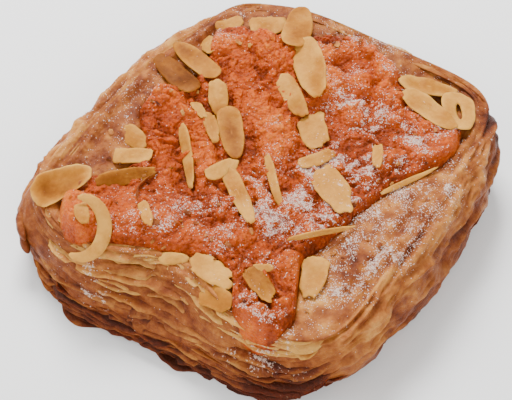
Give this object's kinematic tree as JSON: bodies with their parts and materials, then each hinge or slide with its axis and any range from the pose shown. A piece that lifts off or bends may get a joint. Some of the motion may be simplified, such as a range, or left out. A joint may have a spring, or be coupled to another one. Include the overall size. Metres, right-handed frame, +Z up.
{
  "type": "danish pastry",
  "caption": "Baked square of laminated dough with a lumpy sweet filling, flaked almonds and a dusting of sugar on top.",
  "frame": {"origin": "middle of the flat underside, on the surface the pastry rests on", "axes": "+Z up, through the puffed top; the pastry's sides lie along X and Y"},
  "size_m": [0.1204, 0.1296, 0.0364],
  "materials": {
    "baked_dough": "baked golden crust, glossy on top, flaky and darker at the cut sides",
    "fruit_filling": "glossy orange fruit filling, dusted with sugar",
    "flaked_almond": "pale toasted almond slices, satin"
  },
  "bodies": {
    "root": {"dough": "baked_dough", "filling": "fruit_filling", "almond_rim_low": "flaked_almond", "almond_rim_high": "flaked_almond", "almond_far_low": "flaked_almond", "almond_far_high": "flaked_almond", "almond_east_low": "flaked_almond", "almond_east_mid": "flaked_almond", "almond_east_split": "flaked_almond", "almond_middle": "flaked_almond", "almond_centre": "flaked_almond", "almond_sugared": "flaked_almond", "almond_west": "flaked_almond", "almond_west_small": "flaked_almond", "almond_front": "flaked_almond", "almond_brown": "flaked_almond", "almond_south": "flaked_almond"}
  },
  "joints": []
}
